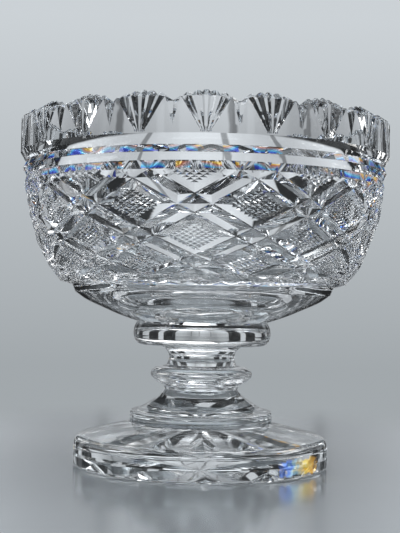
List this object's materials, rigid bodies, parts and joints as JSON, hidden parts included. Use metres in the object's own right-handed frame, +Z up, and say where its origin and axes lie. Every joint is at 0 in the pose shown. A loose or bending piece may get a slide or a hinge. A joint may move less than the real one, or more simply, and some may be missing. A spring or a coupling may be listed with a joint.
{
  "type": "punch bowl",
  "caption": "Footed cut-crystal punch bowl: wide round bowl with a scalloped fan-cut rim, ring grooves and a diamond-cut belt, on a collared and knopped stem with a broad round foot.",
  "frame": {"origin": "centre of the foot's resting face, on the axis of the bowl", "axes": "+Z up along the axis of revolution; the front is -Y"},
  "size_m": [0.305, 0.305, 0.286],
  "materials": {
    "bowl_crystal": "clear crystal, cut and polished outside, smooth inside",
    "stem_crystal": "clear crystal, tooled and fire polished",
    "foot_crystal": "clear crystal, polished, with mitre cuts underneath"
  },
  "bodies": {
    "root": {"bowl": "bowl_crystal", "collar": "stem_crystal", "neck": "stem_crystal", "knop": "stem_crystal", "stem_base": "stem_crystal", "foot": "foot_crystal"}
  },
  "joints": []
}
